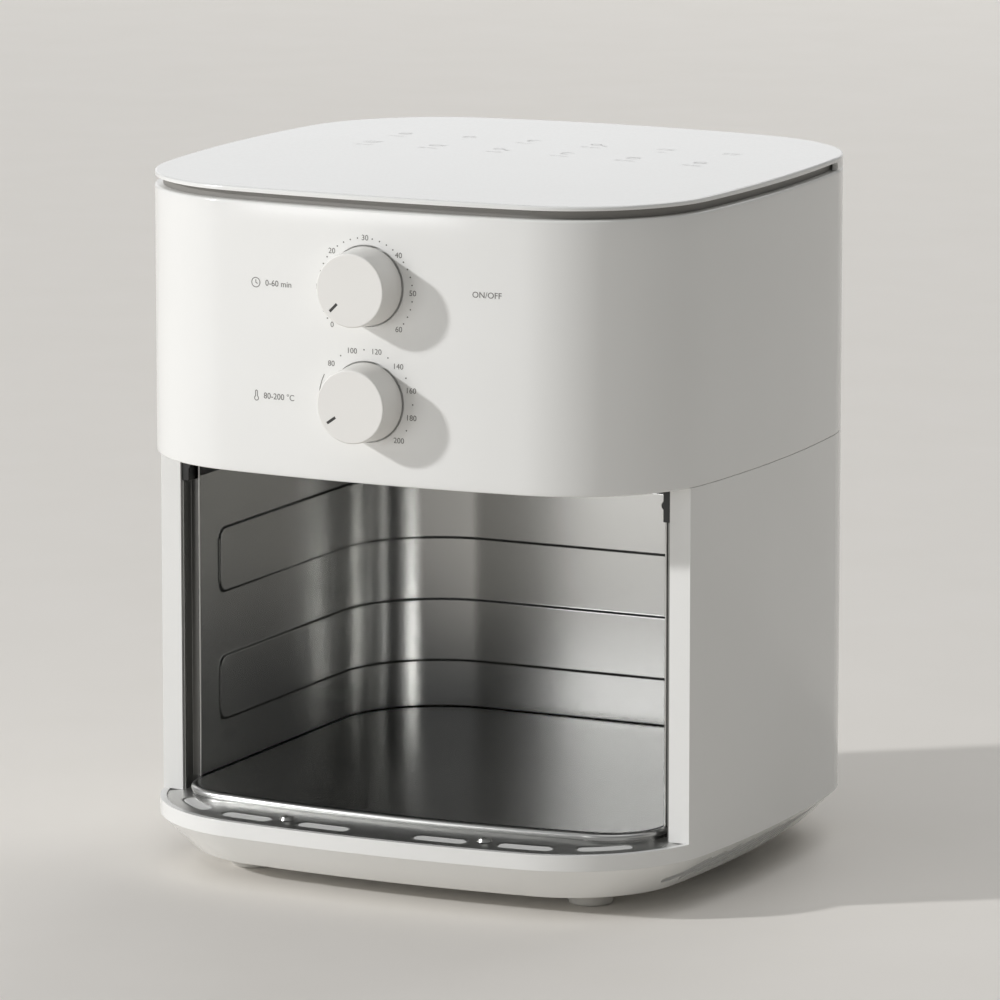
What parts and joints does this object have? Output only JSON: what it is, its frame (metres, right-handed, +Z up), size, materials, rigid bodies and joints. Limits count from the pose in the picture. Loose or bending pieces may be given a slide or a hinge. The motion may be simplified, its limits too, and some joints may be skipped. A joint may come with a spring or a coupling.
{
  "type": "air fryer",
  "caption": "Counter-top air fryer body with an open steel-lined drawer bay, front control knobs, a crowned lid over an air slot and a sloped base on round feet.",
  "frame": {"origin": "on the plane of the feet, under the middle of the whole reach from the knob faces to the cord entry", "axes": "+Z up, -Y out of the front with the knobs and the drawer bay, +X to the right as seen from the front"},
  "size_m": [0.26, 0.2724, 0.301],
  "materials": {
    "white_shell": "satin-gloss white moulding",
    "knob_plastic": "fine matt off-white moulding",
    "grey_trim": "matt grey moulding",
    "black_plastic": "matt black moulding",
    "foot_rubber": "pale grey rubber",
    "bay_steel": "satin rolled sheet",
    "plated_sheet": "zinc-plated sheet",
    "screw_steel": "plated",
    "element_steel": "dark oxidised steel tube",
    "fan_aluminium": "stamped",
    "cooling_plastic": "dark moulding",
    "shaft_steel": "ground",
    "motor_enamel": "grey enamel",
    "bush_brass": "sintered",
    "lamp_glass": "tinted"
  },
  "bodies": {
    "fryer_body": {"top_cover": "white_shell", "upper_housing": "white_shell", "lower_housing": "white_shell", "base_pan": "white_shell", "rear_grille": "white_shell", "top_collar": "grey_trim", "left_drawer_catch": "black_plastic", "right_drawer_catch": "black_plastic", "cord_gland": "black_plastic", "drawer_switch": "black_plastic", "timer_body": "black_plastic", "thermostat_body": "black_plastic", "terminal_block": "black_plastic", "foot_front_left": "foot_rubber", "foot_front_right": "foot_rubber", "foot_rear_left": "foot_rubber", "foot_rear_right": "foot_rubber", "cavity_liner": "bay_steel", "cavity_floor": "bay_steel", "sill_plate": "bay_steel", "left_side_channel": "bay_steel", "right_side_channel": "bay_steel", "partition_plate": "plated_sheet", "heater_guard": "plated_sheet", "heat_shield": "plated_sheet", "exhaust_duct": "plated_sheet", "motor_bridge": "plated_sheet", "control_bracket": "plated_sheet", "timer_bell": "plated_sheet", "thermal_cutout": "plated_sheet", "base_screws": "screw_steel", "sill_screws": "screw_steel", "bridge_screws": "screw_steel", "bracket_screws": "screw_steel", "heating_element": "element_steel", "sensing_bulb": "element_steel", "motor_body": "motor_enamel", "motor_bushes": "bush_brass", "indicator_lamp": "lamp_glass"},
    "timer_dial": {"timer_knob": "knob_plastic", "timer_pointer": "grey_trim", "timer_spindle": "shaft_steel"},
    "temperature_dial": {"temperature_knob": "knob_plastic", "temperature_pointer": "grey_trim", "thermostat_spindle": "shaft_steel"},
    "fan_rotor": {"motor_shaft": "shaft_steel", "hot_air_fan": "fan_aluminium", "cooling_fan": "cooling_plastic", "fan_nut": "screw_steel"},
    "drawer_lever": {"switch_lever": "black_plastic"}
  },
  "joints": [
    {"name": "timer_turn", "type": "hinge", "parent": "fryer_body", "child": "timer_dial", "pos_m": [0, -0.13615, 0.2625], "axis": [0, 1, 0], "range_deg": [0, 270]},
    {"name": "temperature_turn", "type": "hinge", "parent": "fryer_body", "child": "temperature_dial", "pos_m": [0, -0.13615, 0.2141], "axis": [0, 1, 0], "range_deg": [0, 260]},
    {"name": "fan_spin", "type": "hinge", "parent": "fryer_body", "child": "fan_rotor", "pos_m": [0, 0.02665, 0.2], "axis": [0, 0, 1], "continuous": true},
    {"name": "drawer_lever_press", "type": "hinge", "parent": "fryer_body", "child": "drawer_lever", "pos_m": [0.095, -0.08025, 0.189], "axis": [1, 0, 0], "range_deg": [0, 18], "stiffness_Nm_per_rad": 0.01, "springref_deg": -11.46}
  ]
}
